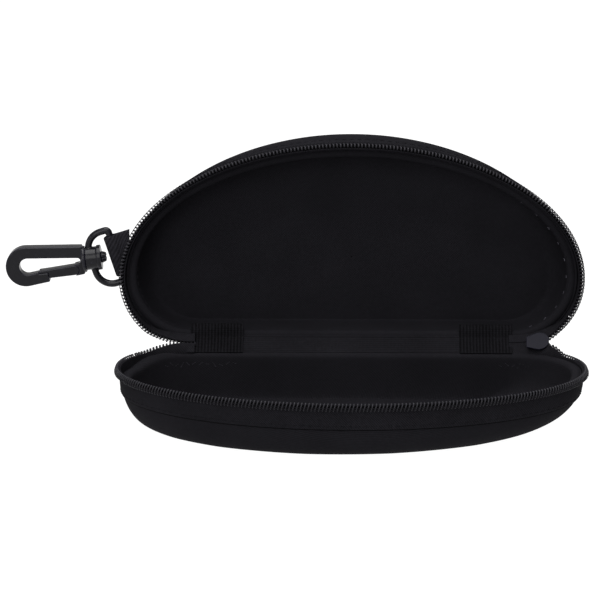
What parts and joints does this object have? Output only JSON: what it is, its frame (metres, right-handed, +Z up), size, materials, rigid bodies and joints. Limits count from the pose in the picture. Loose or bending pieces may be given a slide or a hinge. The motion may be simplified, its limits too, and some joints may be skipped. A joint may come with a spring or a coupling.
{
  "type": "eyeglasses case",
  "caption": "Zipped hard eyeglasses case standing open: two padded D-shaped halves on a fabric hinge, coil zipper, and a swivel hook on a webbing loop.",
  "frame": {"origin": "on the flat patch under the lower half's floor, midway between the patch's rear and front edges and at the middle of the hinge's length", "axes": "+Z up, +X along the hinge towards the slider's end, -Y towards the front of the case"},
  "size_m": [0.206, 0.096, 0.0955],
  "materials": {
    "cover_fabric": "black fine-ribbed polyester moulded onto the foam, matt",
    "shell_foam": "black EVA foam, 2.7 mm, hidden between cover and lining",
    "lining_fabric": "black brushed knit lining, matt",
    "zipper_tape": "black twill-woven polyester tape",
    "zipper_coil": "black nylon coil, satin",
    "hinge_fabric": "black plain-woven strip",
    "tab_ribbon": "black ribbed grosgrain ribbon",
    "slider_metal": "dark grey enamelled zinc, satin",
    "pull_metal": "dark grey enamelled zinc, satin",
    "strap_webbing": "black twill webbing, 15 mm",
    "hook_plastic": "black moulded acetal, semi-gloss"
  },
  "bodies": {
    "base": {"base_foam_shell": "shell_foam", "base_lining": "lining_fabric", "base_outer_cover": "cover_fabric", "base_zipper_coil": "zipper_coil", "base_zipper_tape": "zipper_tape", "hinge_strip_lower": "hinge_fabric", "left_tab_lower": "tab_ribbon", "right_tab_lower": "tab_ribbon"},
    "lid": {"hinge_strip_upper": "hinge_fabric", "left_tab_upper": "tab_ribbon", "lid_foam_shell": "shell_foam", "lid_lining": "lining_fabric", "lid_outer_cover": "cover_fabric", "lid_zipper_coil": "zipper_coil", "lid_zipper_tape": "zipper_tape", "right_tab_upper": "tab_ribbon", "strap_loop": "strap_webbing"},
    "chain_end": {"zipper_closed_end": "zipper_coil"},
    "slider": {"slider_body": "slider_metal", "slider_crown": "slider_metal"},
    "pull": {"pull_tab": "pull_metal"},
    "ring": {"d_ring": "hook_plastic"},
    "hook": {"hook_body": "hook_plastic"},
    "gate": {"hook_gate": "hook_plastic"}
  },
  "joints": [
    {"name": "lid_hinge", "type": "hinge", "parent": "base", "child": "lid", "pos_m": [0, 0.0299, 0.0219], "axis": [-1, 0, 0], "range_deg": [-91, 29]},
    {"name": "slider_follow", "type": "hinge", "parent": "base", "child": "chain_end", "pos_m": [0, 0.0299, 0.0219], "axis": [-1, 0, 0], "range_deg": [-46, 15]},
    {"name": "slider_travel", "type": "hinge", "parent": "chain_end", "child": "slider", "pos_m": [0.0568, 0.01308, 0.03902], "axis": [0, -0.7133, -0.7009], "range_deg": [0, 66.5]},
    {"name": "pull_swing", "type": "hinge", "parent": "slider", "child": "pull", "pos_m": [0.06702, 0.03109, 0.02069], "axis": [0, -0.7133, -0.7009], "range_deg": [-70, 90]},
    {"name": "ring_swing", "type": "hinge", "parent": "lid", "child": "ring", "pos_m": [-0.0841, 0.04282, 0.05178], "axis": [-0.309, 0.0166, 0.9509], "range_deg": [-70, 60]},
    {"name": "hook_swivel", "type": "hinge", "parent": "ring", "child": "hook", "pos_m": [-0.09287, 0.0428, 0.05061], "axis": [-0.9925, -0.0021, -0.1219], "continuous": true},
    {"name": "gate_flex", "type": "hinge", "parent": "hook", "child": "gate", "pos_m": [-0.09902, 0.04273, 0.04653], "axis": [0, 0.9998, -0.0175], "range_deg": [0, 15], "stiffness_Nm_per_rad": 0.02, "springref_deg": -2.86}
  ],
  "couplings": [
    {"joint": "slider_follow", "follows": "lid_hinge", "ratio": 0.5}
  ]
}
